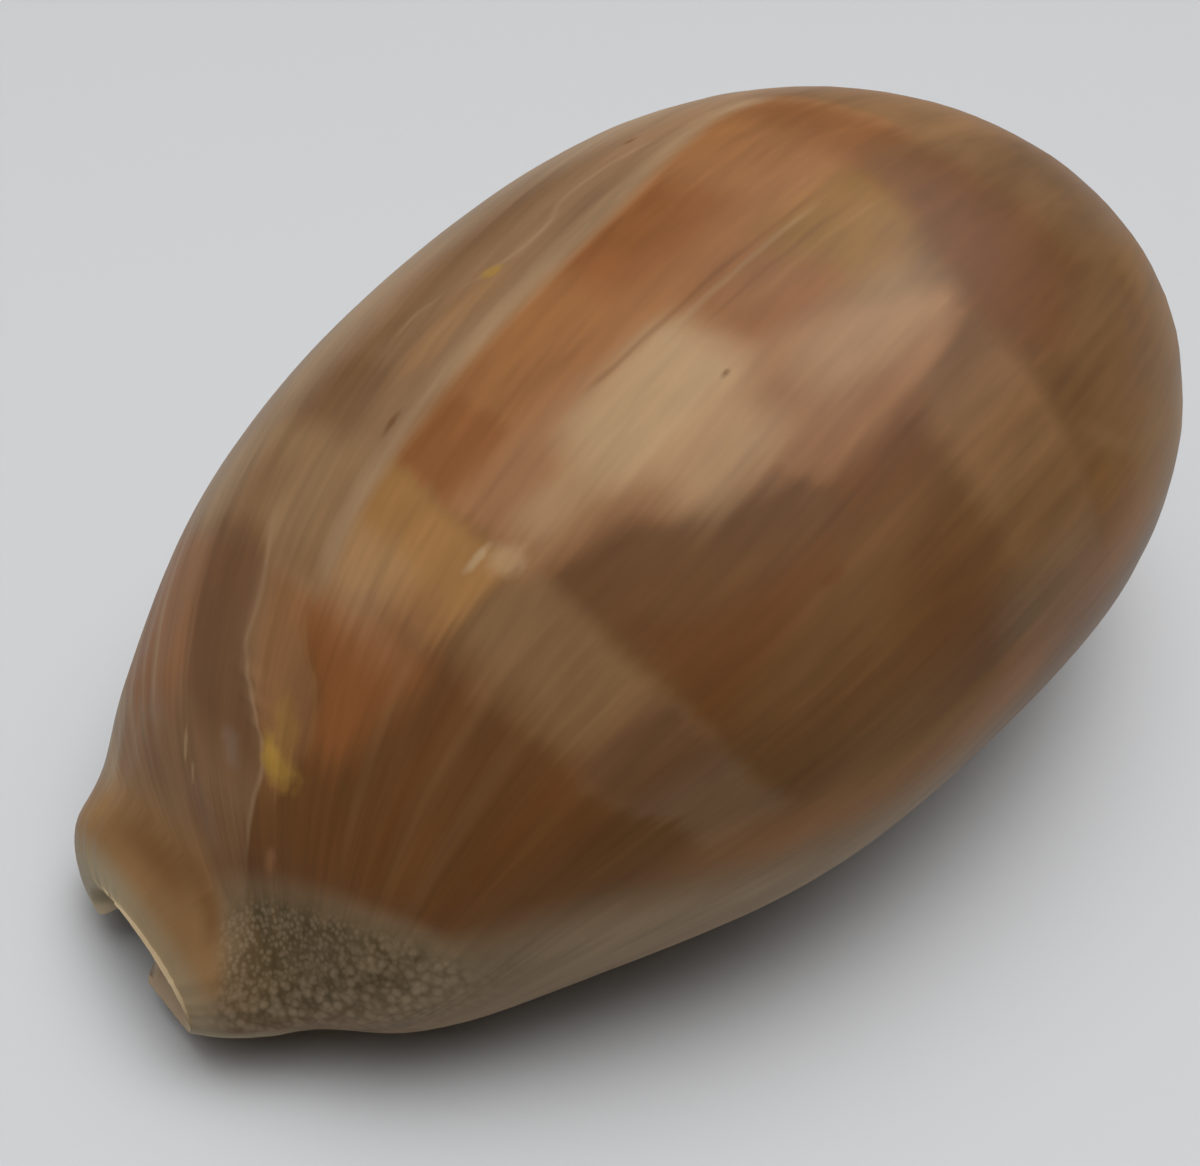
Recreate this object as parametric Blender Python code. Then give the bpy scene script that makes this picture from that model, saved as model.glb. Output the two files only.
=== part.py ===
"""A cowrie shell: one hollow egg of shell that lies on its base, open below along a toothed slit.

The shell grew as one piece, so it is one solid. -X is the narrow front end with its siphon notch,
+X the broad spire end, +Y the side of the outer lip and -Y the side of the columella.
Z = 0 is the plane that it rests on, and the origin lies under its middle.
"""

import math

import bpy
import numpy as np

MM = 0.001

# Driving dimensions, in millimetres.
LENGTH = 131.0
# Half width, sideways shift of the middle and height of the crown, at eleven stations from the
# front end to the rear end. The stations lie at equal angles round the long egg.
HALF_WIDTH = (9.7, 14.9, 23.9, 33.3, 40.6, 42.6, 41.5, 36.5, 27.9, 16.9, 6.6)
MIDDLE = (2.8, 4.3, 2.4, 2.2, 0.8, -0.2, -0.6, -0.4, -0.3, -0.1, 0.0)
CROWN = (10.2, 11.7, 20.6, 32.5, 43.3, 51.8, 55.8, 53.4, 45.0, 28.9, 12.4)
ROUNDNESS = 1.08  # above 1 the widest line drops below half height
FULLNESS = 0.02  # how far the flanks swell beyond an ellipse
FLAT_DEPTH = 1.2  # what the flat of the base takes off the round underside
FRONT_LIFT = 3.3  # how far the base rises at the front end
REAR_LIFT = 2.0
FRONT_REACH = 0.15  # part of the length over which it rises there
REAR_REACH = 0.22
FRONT_SWELL = 1.1  # how far the thickened rim of the front end swells outwards
FRONT_ROLL = 0.9  # how far its very edge rolls in again
FRONT_WAIST = 0.9  # how far the shell is drawn in behind that rim
FRONT_NOTCH = 1.2  # how far the crown edge of the front opening stands back from its lips
REAR_NOTCH = 1.0
REAR_OVERHANG = 3.0  # how far the rear of the base is drawn in under the spire end

# The wall, and the slit between the two lips.
WALL = 2.4
RIM_WALL = 2.0  # wall at the two end openings
LIP_HEIGHT_OUTER = 5.5  # depth of the slit on the outer lip's side
LIP_HEIGHT_INNER = 9.0  # and on the side of the rolled-in columella
LIP_SPREAD = 0.5  # angle, in radians, over which a lip thins to the wall
LIP_ROUND = 3.0  # how far each lip bulges into the slit
RIM_ROUND = 0.8  # how far the rims of the end openings bulge
SLIT_LINE = (5.5, 4.2, 3.0, 2.4, 1.2, 0.0)  # sideways place of the slit's middle, front to rear
SLIT_HALF = (4.0, 4.4, 3.8, 3.6, 3.5, 2.4)  # half its clear width
FRONT_GAP = 2.6  # how much further the outer lip stands back at the front end

# The teeth, which are the ridges between grooves cut across each lip.
TOOTH_PITCH = 4.0
TEETH_SPAN = 108.0  # length of the toothed part of each lip
GROOVE_DEPTH = 1.0
TOOTH_REACH_OUTER = 7.0  # how far the teeth run out over the base
TOOTH_REACH_INNER = 4.5

# How finely the surface is divided.
END_STATIONS = 5  # stations between the last tooth and each end
AROUND = 40  # steps round the outside from lip to lip
CROWDING = 0.12  # how much closer those steps lie near the lips
EDGE_STEPS = 4  # steps round each lip and rim

SHELL_BROWN = (0.19, 0.085, 0.032, 1.0)


def step_between(value):
    """A smooth rise from 0 to 1 as the value goes from 0 to 1."""
    value = np.clip(value, 0.0, 1.0)
    return value * value * (3.0 - 2.0 * value)


def profile(heights, share):
    """A smooth curve through evenly spaced heights, read at a share of the way along."""
    heights = np.asarray(heights, float)
    last = len(heights) - 1
    rows = np.eye(last + 1)
    turns = np.zeros(last + 1)
    for i in range(1, last):
        rows[i, i - 1 : i + 2] = 1.0, 4.0, 1.0
        turns[i] = 6.0 * (heights[i - 1] - 2.0 * heights[i] + heights[i + 1])
    rows[0, 1] = rows[last, last - 1] = -1.0
    bend = np.linalg.solve(rows, turns)
    place = np.clip(share, 0.0, 1.0) * last
    left = np.minimum(place.astype(int), last - 1)
    to_right = place - left
    to_left = 1.0 - to_right
    curve = to_left * heights[left] + to_right * heights[left + 1]
    curve = curve + (to_left**3 - to_left) * bend[left] / 6.0
    return curve + (to_right**3 - to_right) * bend[left + 1] / 6.0


def along(station):
    """Share of the length, 0 to 1, at a station."""
    return (1.0 - np.cos(math.pi * station)) / 2.0


def lift(station):
    """Height of the underside at a station."""
    front = np.clip(1.0 - (along(station) / FRONT_REACH) ** 2, 0.0, 1.0) ** 2
    rear = np.clip((along(station) - 1.0 + REAR_REACH) / REAR_REACH, 0.0, 1.0) ** 2
    return FRONT_LIFT * front + REAR_LIFT * rear


def sideways(turn):
    """Sideways reach of the section, -1 to 1, at a turn from the crown."""
    return (np.sin(turn) + FULLNESS * np.sin(3.0 * turn)) / (1.0 - FULLNESS)


def endwise(station, turn, height):
    """X of the outside: the egg's own, with the notches and the overhang worked in."""
    share = along(station)
    crown_side = np.cos((turn - 0.3) / 2.0) ** 4
    x = -LENGTH / 2.0 * np.cos(math.pi * station)
    x = x + FRONT_NOTCH * crown_side * np.exp(-((share / 0.05) ** 1.5))
    x = x - REAR_NOTCH * crown_side * np.exp(-(1.0 - share) / 0.04)
    low = np.clip(1.0 - height / (0.35 * CROWN[6]), 0.0, 1.0) ** 2
    return x - REAR_OVERHANG * step_between((share - 0.75) / 0.25) * low


def front_rim(station):
    """How far the thickened rim stands out of the egg at a station."""
    share = along(station)
    swell = FRONT_SWELL * np.exp(-(((share - 0.012) / 0.024) ** 2))
    waist = FRONT_WAIST * np.exp(-(((share - 0.062) / 0.024) ** 2))
    return swell - waist - FRONT_ROLL * np.exp(-share / 0.008)


def outside(station, turn):
    """Points of the outer surface."""
    swell = front_rim(station)
    base = lift(station) - np.minimum(swell, 0.0)
    level = (1.0 + np.cos(turn)) / 2.0
    rise = (profile(CROWN, station) + swell - base + FLAT_DEPTH) * level**ROUNDNESS
    z = np.maximum(base - FLAT_DEPTH + rise, base)
    y = profile(MIDDLE, station) + (profile(HALF_WIDTH, station) + swell) * sideways(turn)
    x = endwise(station, turn, z)
    return np.stack(np.broadcast_arrays(x, y, z), -1)


def inside(station, turn):
    """Points of the inner surface, which the columella rolls into as a thick lip."""
    middle_part = np.sin(math.pi * station) ** 0.5
    wall = RIM_WALL + (WALL - RIM_WALL) * middle_part
    lip = np.where(turn > 0.0, LIP_HEIGHT_OUTER, LIP_HEIGHT_INNER)
    near_lip = np.exp(-(((math.pi - np.abs(turn)) / LIP_SPREAD) ** 2))
    floor = lift(station) + wall + (lip - WALL) * middle_part * near_lip
    level = (1.0 + np.cos(turn)) / 2.0
    z = floor + (profile(CROWN, station) - wall - floor) * level**ROUNDNESS
    y = profile(MIDDLE, station) + (profile(HALF_WIDTH, station) - wall) * sideways(turn)
    x = endwise(station, turn, z) * (1.0 - 2.0 * WALL / LENGTH)
    return np.stack(np.broadcast_arrays(x, y, z), -1)


def lip_turns(station):
    """The turns at which the outside ends at the outer lip and at the inner lip."""
    half = profile(HALF_WIDTH, station) * (1.0 + 3.0 * FULLNESS) / (1.0 - FULLNESS)
    shift = profile(SLIT_LINE, along(station)) - profile(MIDDLE, station)
    reach = profile(SLIT_HALF, along(station)) + LIP_ROUND * np.sin(math.pi * station) ** 0.3
    wider = FRONT_GAP * np.exp(-((along(station) / 0.05) ** 2))
    outer = math.pi - np.arcsin(np.clip((shift + reach + wider) / half, 0.05, 0.95))
    inner = math.pi - np.arcsin(np.clip((reach - shift) / half, 0.05, 0.9))
    return outer, inner


def stations():
    """Stations from front to rear: one on each tooth and groove, and a few more at the ends."""
    steps = round(TEETH_SPAN / TOOTH_PITCH) * 2
    toothed = np.linspace(-TEETH_SPAN / 2.0, TEETH_SPAN / 2.0, steps + 1)
    middle = np.arccos(-toothed / (LENGTH / 2.0)) / math.pi
    front = np.linspace(0.0, middle[0], END_STATIONS + 1)[:-1]
    rear = np.linspace(middle[-1], 1.0, END_STATIONS + 1)[1:]
    return np.concatenate([front, middle, rear])


def groove(x):
    """Depth of the grooves at X: none on a tooth, full between two."""
    wave = 0.5 - 0.5 * np.cos(2.0 * math.pi * (x + TEETH_SPAN / 2.0) / TOOTH_PITCH)
    return GROOVE_DEPTH * wave * (np.abs(x) < TEETH_SPAN / 2.0)


def grooved(points, edge_outer, edge_inner):
    """The outside with the grooves cut into the base beside the slit."""
    beyond_outer = (points[..., 1] - edge_outer[:, None, 1]) / TOOTH_REACH_OUTER
    beyond_inner = (edge_inner[:, None, 1] - points[..., 1]) / TOOTH_REACH_INNER
    nearness = np.clip(1.0 - np.maximum(beyond_outer, beyond_inner), 0.0, 1.0)
    under = points[..., 2] < LIP_HEIGHT_OUTER
    points = points.copy()
    points[..., 2] += groove(points[..., 0]) * nearness * under
    return points


def surfaces():
    """The outer grid and the inner grid of points, each from the outer lip round to the inner."""
    station = stations()[:, None]
    outer_turn, inner_turn = lip_turns(station)
    share = np.linspace(0.0, 1.0, AROUND + 1)[None]
    share = share - CROWDING * np.sin(2.0 * math.pi * share)
    turn = outer_turn + (-inner_turn - outer_turn) * share
    outer = outside(station, turn)
    outer = grooved(outer, outer[:, 0], outer[:, -1])
    return outer, inside(station, turn)


def border(grid):
    """The grid's border as one closed ring of (row, column) pairs."""
    rows, columns = grid.shape[:2]
    ring = [(i, 0) for i in range(rows)]
    ring += [(rows - 1, j) for j in range(1, columns)]
    ring += [(i, columns - 1) for i in range(rows - 2, -1, -1)]
    ring += [(0, j) for j in range(columns - 2, 0, -1)]
    return ring


def outward(grid, ring):
    """At each point of the border, the way the surface runs off its own edge."""
    rows, columns = grid.shape[:2]
    ways = []
    for i, j in ring:
        way = np.zeros(3)
        if i in (0, rows - 1):
            behind = grid[1 if i == 0 else rows - 2, j]
            way += (grid[i, j] - behind) / np.linalg.norm(grid[i, j] - behind)
        if j in (0, columns - 1):
            behind = grid[i, 1 if j == 0 else columns - 2]
            way += (grid[i, j] - behind) / np.linalg.norm(grid[i, j] - behind)
        ways.append(way / np.linalg.norm(way))
    return np.array(ways)


def edge_rings(outer, inner, ring):
    """Rings that round the shell's edge over from the outer surface to the inner one."""
    near = np.array([outer[place] for place in ring])
    far = np.array([inner[place] for place in ring])
    ways = outward(outer, ring)
    last_column = outer.shape[1] - 1
    on_lip = np.array([j in (0, last_column) for _, j in ring])
    bulge = np.where(on_lip, LIP_ROUND, RIM_ROUND)
    ends = np.clip((LENGTH / 2.0 - np.abs(near[:, 0])) / (LENGTH / 2.0 - TEETH_SPAN / 2.0), 0.0, 1.0)
    bulge = RIM_ROUND + (bulge - RIM_ROUND) * step_between(ends)
    cut = groove(near[:, 0]) * on_lip
    rings = []
    for k in range(1, EDGE_STEPS + 1):
        angle = math.pi * k / (EDGE_STEPS + 1)
        depth = cut * math.sin(angle) ** 0.5
        reach = bulge * math.sin(angle) - depth
        rings.append((near + far) / 2.0 + (near - far) / 2.0 * math.cos(angle) + ways * reach[:, None])
    return rings


def shell_mesh():
    """Points and faces of the closed shell."""
    outer, inner = surfaces()
    rows, columns = outer.shape[:2]
    points = []
    faces = []

    def add(point):
        points.append(point)
        return len(points) - 1

    outer_index = [[add(outer[i, j]) for j in range(columns)] for i in range(rows)]
    for i in range(rows - 1):
        for j in range(columns - 1):
            a, b = outer_index[i][j], outer_index[i + 1][j]
            c, d = outer_index[i + 1][j + 1], outer_index[i][j + 1]
            faces.append((a, d, c, b))

    # The inside needs only every other point, and all of them along its border.
    ring = border(outer)
    inner_index = {place: add(inner[place]) for place in ring}
    for i in range(2, rows - 2, 2):
        for j in range(2, columns - 2, 2):
            inner_index[i, j] = add(inner[i, j])
    for i in range(0, rows - 1, 2):
        for j in range(0, columns - 1, 2):
            around = [(i, j), (i + 1, j), (i + 2, j), (i + 2, j + 1)]
            around += [(i + 2, j + 2), (i + 1, j + 2), (i, j + 2), (i, j + 1)]
            faces.append(tuple(inner_index[place] for place in around if place in inner_index))

    near = [outer_index[i][j] for i, j in ring]
    for points_of_ring in edge_rings(outer, inner, ring):
        far = [add(point) for point in points_of_ring]
        faces += edge_band(near, far)
        near = far
    faces += edge_band(near, [inner_index[place] for place in ring])
    return centred(np.array(points)) * MM, faces


def centred(points):
    """The points, moved sideways so that the origin lies under the middle of their box."""
    low, high = points.min(axis=0), points.max(axis=0)
    middle = (low + high) / 2.0
    return points - (middle[0], middle[1], low[2])


def edge_band(near, far):
    """Faces between two rings of the same count."""
    count = len(near)
    return [(near[k], near[(k + 1) % count], far[(k + 1) % count], far[k]) for k in range(count)]


def clear_scene():
    for obj in list(bpy.data.objects):
        bpy.data.objects.remove(obj, do_unlink=True)


def material(name, colour, roughness, metallic):
    made = bpy.data.materials.new(name)
    made.use_nodes = True
    shader = made.node_tree.nodes["Principled BSDF"]
    shader.inputs["Base Color"].default_value = colour
    shader.inputs["Roughness"].default_value = roughness
    shader.inputs["Metallic"].default_value = metallic
    return made


def make_shell():
    points, faces = shell_mesh()
    mesh = bpy.data.meshes.new("cowrie_shell")
    mesh.from_pydata(points.tolist(), [], faces)
    mesh.validate()
    mesh.shade_smooth()
    mesh.materials.append(material("polished shell", SHELL_BROWN, 0.22, 0.0))
    shell = bpy.data.objects.new("cowrie_shell", mesh)
    bpy.context.scene.collection.objects.link(shell)
    return shell


clear_scene()
make_shell()
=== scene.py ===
"""A polished cowrie shell lying on its base on a plain pale floor.

Laid out as a Blender add-on and run as a script: one operator makes the shell, one the stage.
-X is the narrow front end with its siphon notch, +X the broad spire end, +Y the outer lip's side.
A place on the shell is named by "along", its share of the length from the front end, and "turn",
its angle round the shell from the crown, in degrees, positive towards the outer lip.
"""

import math

import bpy
import numpy as np
from mathutils import Matrix, Vector


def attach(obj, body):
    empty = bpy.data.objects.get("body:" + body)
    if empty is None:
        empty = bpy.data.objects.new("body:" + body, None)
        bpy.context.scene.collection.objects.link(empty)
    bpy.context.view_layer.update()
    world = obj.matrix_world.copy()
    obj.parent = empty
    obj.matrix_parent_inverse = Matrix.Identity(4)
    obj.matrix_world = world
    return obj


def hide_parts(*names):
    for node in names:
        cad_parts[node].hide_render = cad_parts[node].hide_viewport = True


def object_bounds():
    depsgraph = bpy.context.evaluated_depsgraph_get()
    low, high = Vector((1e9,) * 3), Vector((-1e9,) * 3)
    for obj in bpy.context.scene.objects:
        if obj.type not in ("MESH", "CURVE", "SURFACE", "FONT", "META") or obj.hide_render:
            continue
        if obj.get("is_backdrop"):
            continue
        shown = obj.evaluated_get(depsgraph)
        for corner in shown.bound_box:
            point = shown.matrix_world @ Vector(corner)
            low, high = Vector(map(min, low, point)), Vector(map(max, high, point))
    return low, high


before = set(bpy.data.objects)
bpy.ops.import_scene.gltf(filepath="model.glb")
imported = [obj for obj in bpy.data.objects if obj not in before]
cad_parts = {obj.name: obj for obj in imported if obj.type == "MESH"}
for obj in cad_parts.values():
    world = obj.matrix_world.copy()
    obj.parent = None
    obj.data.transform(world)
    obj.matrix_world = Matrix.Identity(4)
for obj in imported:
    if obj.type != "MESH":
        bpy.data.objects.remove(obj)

bl_info = {
    "name": "Cowrie Shell",
    "version": (1, 0, 0),
    "blender": (4, 5, 0),
    "location": "3D View > Sidebar > Shell",
    "description": "A polished cowrie shell with its bands, specks, toothed slit and a small studio",
    "category": "Object",
}

NODE = "cowrie_shell"
MM = 0.001
CAD_LOW, CAD_HIGH = (Vector(corner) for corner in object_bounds())
CAD_SIZE = CAD_HIGH - CAD_LOW

# The egg's own proportions, in millimetres before it is fitted to its length, width and height.
# Half width, sideways shift of the middle and height of the crown stand at eleven stations, which
# lie at equal angles round the long egg from the front end to the rear end.
LENGTH = 131.0
HALF_WIDTH = (9.7, 14.9, 23.9, 33.3, 40.6, 42.6, 41.5, 36.5, 27.9, 16.9, 6.6)
MIDDLE = (2.8, 4.3, 2.4, 2.2, 0.8, -0.2, -0.6, -0.4, -0.3, -0.1, 0.0)
CROWN = (10.2, 11.7, 20.6, 32.5, 43.3, 51.8, 55.8, 53.4, 45.0, 28.9, 12.4)

# A section's fall from the crown, the fullness of its flanks, and the flat that it stands on.
ROUNDNESS = 1.08
FULLNESS = 0.02
FLAT_DEPTH = 1.2
FLAT_BLEND = 0.5  # how softly the flat of the base turns into the round

# The ends: how high they lift off the floor and how far along that reaches, the front end's swollen
# rim, the waist behind it and the rim's rolled edge, both notches, and the spire end's overhang.
# Places and reaches are shares of the length; the notches lie a little to one side of the crown.
FRONT_LIFT = 3.3
REAR_LIFT = 2.0
FRONT_REACH = 0.15
REAR_REACH = 0.22
FRONT_SWELL = 1.1
SWELL_PLACE = 0.012
FRONT_WAIST = 0.9
WAIST_PLACE = 0.062
SWELL_REACH = 0.024
FRONT_ROLL = 0.9
ROLL_REACH = 0.008
FRONT_NOTCH = 1.2
REAR_NOTCH = 1.0
NOTCH_TURN = 0.3
REAR_OVERHANG = 3.0
OVERHANG_START = 0.75
OVERHANG_HEIGHT = 0.35 * CROWN[6]

# The wall at the rims, the two lips, and the slit's line and half width at even shares of the length.
RIM_WALL = 2.0
LIP_HEIGHT_OUTER = 5.5
LIP_HEIGHT_INNER = 9.0
LIP_SPREAD = 0.5
LIP_ROUND = 3.0
RIM_ROUND = 0.8
SLIT_LINE = (5.5, 4.2, 3.0, 2.4, 1.2, 0.0)
SLIT_HALF = (4.0, 4.4, 3.8, 3.6, 3.5, 2.4)
FRONT_GAP = 2.6
TOOTH_REACH_OUTER = 7.0
TOOTH_REACH_INNER = 4.5

# The sunken spire at the rear end, in metres.
SPIRE_SIDE = -10.0 * MM
SPIRE_HEIGHT = 24.0 * MM
SPIRE_REACH = 7.0 * MM

# The sky's tint, how closely it gathers round its direction, and the point the lamp is aimed at.
SKY_COLOUR = (0.95, 0.97, 1.0, 1.0)
SKY_FOCUS = 10.0
LIT_POINT = (0.0, 0.0, 0.02)

# How finely the surface is divided.
STATIONS = 381
AROUND = 160
CROWDING = 0.12
EDGE_STEPS = 9
EDGE_BLEND = 6  # border points over which the rim's direction turns a corner


# ---------------------------------------------------------------- settings


def size_setting(name, description, default):
    return bpy.props.FloatProperty(name=name, description=description, default=default, unit="LENGTH")


def angle_setting(name, description, degrees):
    return bpy.props.FloatProperty(
        name=name, description=description, default=math.radians(degrees), subtype="ANGLE"
    )


def vector_setting(name, description, default, kind):
    return bpy.props.FloatVectorProperty(
        name=name, description=description, default=default, size=3, subtype=kind
    )


def colour_setting(name, description, default):
    return bpy.props.FloatVectorProperty(
        name=name, description=description, default=default, size=3, subtype="COLOR", min=0.0, max=1.0
    )


class ShellSettings(bpy.types.PropertyGroup):
    """Sizes of the shell."""

    length: size_setting("Length", "Front end to spire end", CAD_SIZE.x)
    width: size_setting("Width", "Widest place, side to side", CAD_SIZE.y)
    height: size_setting("Height", "Base to crown", CAD_SIZE.z)
    wall: size_setting("Wall", "Thickness of the shell's wall", 2.4 * MM)
    tooth_pitch: size_setting("Tooth pitch", "From one tooth to the next", 4 * MM)
    toothed_length: size_setting("Toothed length", "Length of each toothed lip", 108 * MM)
    groove_depth: size_setting("Groove depth", "Depth between two teeth", 1.1 * MM)
    growth_depth: size_setting("Growth relief", "Swell of the broad growth lines", 0.16 * MM)
    spire_depth: size_setting("Spire pit", "Depth of the sunken spire", 1.2 * MM)
    scar_height: size_setting("Scar height", "Height of the healed scar's ridge", 0.25 * MM)


class ColourSettings(bpy.types.PropertyGroup):
    """Colours of the shell."""

    umber: colour_setting("Umber", "Ground brown of the bands", (0.172, 0.078, 0.026))
    bark: colour_setting("Bark", "Darkest brown of the bands", (0.145, 0.05, 0.013))
    mahogany: colour_setting("Mahogany", "Dark red brown of the rear band", (0.2, 0.068, 0.013))
    russet: colour_setting("Russet", "Reddish blocks of the bands", (0.274, 0.098, 0.028))
    amber: colour_setting("Amber", "Light brown of the crown", (0.327, 0.136, 0.045))
    honey: colour_setting("Honey", "Yellowish part of the front pale band", (0.37, 0.18, 0.058))
    ochre: colour_setting("Ochre", "Olive yellow between the bands", (0.245, 0.115, 0.02))
    sand: colour_setting("Sand", "The pale bands on the flanks", (0.255, 0.133, 0.054))
    taupe: colour_setting("Taupe", "Greyish brown of the flank", (0.195, 0.103, 0.043))
    cream: colour_setting("Cream", "The worn pale patch on the crown", (0.48, 0.305, 0.155))
    rose: colour_setting("Rose", "Pinkish edge of the pale patch", (0.36, 0.168, 0.072))
    clay: colour_setting("Clay", "The outer lip's side", (0.29, 0.162, 0.082))
    mauve: colour_setting("Mauve", "The line where the mantle's two lobes met", (0.37, 0.23, 0.122))
    mist: colour_setting("Mist", "Bluish bloom of the front", (0.27, 0.2, 0.15))
    dusk: colour_setting("Dusk", "Dark shade beside the scar", (0.152, 0.069, 0.029))
    margin: colour_setting("Margin", "Greyish beige of the margins", (0.36, 0.25, 0.148))
    callus: colour_setting("Callus", "Smooth tan rim of the front end", (0.305, 0.17, 0.07))
    # The front end's pale edge: partly the edge's own pale colour, partly a painted highlight for the
    # sheen along its rounded edge.
    rim_and_sheen: colour_setting("Rim", "Pale edge of the front end", (0.4, 0.32, 0.2))
    speck: colour_setting("Speck", "Cream specks of the margin", (0.36, 0.26, 0.155))
    ground: colour_setting("Ground", "Olive brown between the specks", (0.1, 0.067, 0.028))
    gold: colour_setting("Gold", "Yellow spot in the scar", (0.42, 0.235, 0.045))
    teeth: colour_setting("Teeth", "Brown of the teeth", (0.13, 0.06, 0.03))
    base: colour_setting("Base", "Underside beside the slit", (0.36, 0.26, 0.17))
    lining: colour_setting("Lining", "Inside of the shell", (0.5, 0.42, 0.42))


class StageSettings(bpy.types.PropertyGroup):
    """Floor, light and viewpoint."""

    floor_colour: colour_setting("Floor", "Colour of the floor", (0.575, 0.573, 0.57))
    floor_size: size_setting("Floor size", "Side of the floor", 8.0)
    sky_strength: bpy.props.FloatProperty(
        name="Sky", description="Strength of the broad light from overhead", default=6.6
    )
    sky_way: vector_setting(
        "Sky way", "Direction that the broad light is strongest from", (0.36, 0.0, 0.93), "DIRECTION"
    )
    key_power: bpy.props.FloatProperty(
        name="Main light", description="Power of the large soft light, in watts", default=0.71
    )
    key_place: vector_setting(
        "Light place", "Where the large soft light hangs", (-0.25, 0.2, 0.6), "TRANSLATION"
    )
    key_size: size_setting("Light size", "Width of the large soft light", 0.7)
    azimuth: angle_setting("Azimuth", "Viewpoint's angle round the shell", -41.94)
    elevation: angle_setting("Elevation", "Viewpoint's angle above the floor", 42.03)
    roll: angle_setting("Roll", "Tilt of the camera", -3.13)
    field_of_view: angle_setting("Field of view", "Angle across the picture", 50.6)
    distance: size_setting("Distance", "From the camera to its target", 131.3 * MM)
    target: vector_setting(
        "Target", "Point that the camera looks at", (-9.86 * MM, -1.08 * MM, 18.11 * MM), "TRANSLATION"
    )


# ---------------------------------------------------------------- node trees


class Graph:
    """A node tree that is written one node at a time."""

    def __init__(self, tree):
        self.tree = tree
        tree.nodes.clear()

    def node(self, kind, settings=None, inputs=None):
        """A node of that kind: settings first, then the values or links of its sockets."""
        made = self.tree.nodes.new(kind)
        for name, value in (settings or {}).items():
            if name == "points":
                set_points(made.mapping, value)
            else:
                setattr(made, name, value)
        for key, value in (inputs or {}).items():
            self.feed(made.inputs[key], value)
        return made

    def feed(self, socket, value):
        if isinstance(value, Reading):
            self.tree.links.new(value.socket, socket)
        else:
            socket.default_value = value

    def read(self, made, output=0):
        return Reading(self, made.outputs[output])

    def value(self, kind, settings=None, inputs=None, output=0):
        """What a new node of that kind puts out."""
        return self.read(self.node(kind, settings, inputs), output)


def set_points(mapping, points):
    """Gives a curve node its (place, value) points, both from 0 to 1."""
    curve = mapping.curves[0]
    while len(curve.points) < len(points):
        curve.points.new(0.5, 0.5)
    for point, (at, value) in zip(curve.points, points):
        point.location = (at, value)
        point.handle_type = "AUTO_CLAMPED"
    mapping.use_clip = False
    mapping.extend = "HORIZONTAL"
    mapping.update()


def operator(operation, swapped=False):
    """A method that adds one Math node for the number and another one, or the other way round."""

    def apply(self, other):
        return self.maths(operation, *((other, self) if swapped else (self, other)))

    return apply


class Reading:
    """A number that changes over the surface, so that shader maths reads as an expression."""

    def __init__(self, graph, socket):
        self.graph = graph
        self.socket = socket

    def maths(self, operation, *values):
        return self.graph.value("ShaderNodeMath", {"operation": operation}, dict(enumerate(values)))

    __add__ = operator("ADD")
    __radd__ = operator("ADD", swapped=True)
    __sub__ = operator("SUBTRACT")
    __rsub__ = operator("SUBTRACT", swapped=True)
    __mul__ = operator("MULTIPLY")
    __rmul__ = operator("MULTIPLY", swapped=True)
    __truediv__ = operator("DIVIDE")
    __pow__ = operator("POWER")
    least = operator("MINIMUM")
    most = operator("MAXIMUM")

    def __neg__(self):
        return self.maths("MULTIPLY", self, -1.0)

    def __abs__(self):
        return self.maths("ABSOLUTE", self)

    def scaled(self, by, plus):
        """The number times one value plus another, in one node."""
        return self.maths("MULTIPLY_ADD", self, by, plus)

    def root(self):
        return self.maths("SQRT", self)

    def cosine(self):
        return self.maths("COSINE", self)

    def rise(self, low, high, start=0.0, end=1.0):
        """0 below low, 1 above high and smooth between."""
        return self.graph.value(
            "ShaderNodeMapRange",
            {"interpolation_type": "SMOOTHSTEP", "clamp": False},
            {"Value": self, "From Min": low, "From Max": high, "To Min": start, "To Max": end},
        )

    def fall(self, low, high):
        """1 below low, 0 above high and smooth between."""
        return self.rise(low, high, 1.0, 0.0)

    def follow(self, path):
        """Reads a smooth curve through (place, value) points at this number."""
        low, high = path[0][0], path[-1][0]
        least, most = min(value for _, value in path), max(value for _, value in path)
        points = [((at - low) / (high - low), (value - least) / (most - least)) for at, value in path]
        share = self.scaled(1.0 / (high - low), -low / (high - low))
        curve = self.graph.value("ShaderNodeFloatCurve", {"points": points}, {"Value": share})
        return curve.scaled(most - least, least)

    def bump(self, centre, reach):
        """1 at the centre, falling smoothly to 0 at a reach either side."""
        return abs(self - centre).fall(0.0, reach)


# ---------------------------------------------------------------- the shell's form


def step_between(value):
    """A smooth rise from 0 to 1 as the value goes from 0 to 1."""
    value = np.clip(value, 0.0, 1.0)
    return value * value * (3.0 - 2.0 * value)


def profile(heights, share):
    """A smooth curve through evenly spaced heights, read at a share of the way along."""
    heights = np.asarray(heights, float)
    last = len(heights) - 1
    rows = np.eye(last + 1)
    turns = np.zeros(last + 1)
    for i in range(1, last):
        rows[i, i - 1 : i + 2] = 1.0, 4.0, 1.0
        turns[i] = 6.0 * (heights[i - 1] - 2.0 * heights[i] + heights[i + 1])
    rows[0, 1] = rows[last, last - 1] = -1.0
    bend = np.linalg.solve(rows, turns)
    place = np.clip(share, 0.0, 1.0) * last
    left = np.minimum(place.astype(int), last - 1)
    to_right = place - left
    to_left = 1.0 - to_right
    curve = to_left * heights[left] + to_right * heights[left + 1]
    curve = curve + (to_left**3 - to_left) * bend[left] / 6.0
    return curve + (to_right**3 - to_right) * bend[left + 1] / 6.0


def along(station):
    """Share of the length, 0 to 1, at a station."""
    return (1.0 - np.cos(math.pi * station)) / 2.0


def lift(station):
    """Height of the underside at a station."""
    front = np.clip(1.0 - (along(station) / FRONT_REACH) ** 2, 0.0, 1.0) ** 2
    rear = np.clip((along(station) - 1.0 + REAR_REACH) / REAR_REACH, 0.0, 1.0) ** 2
    return FRONT_LIFT * front + REAR_LIFT * rear


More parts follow.
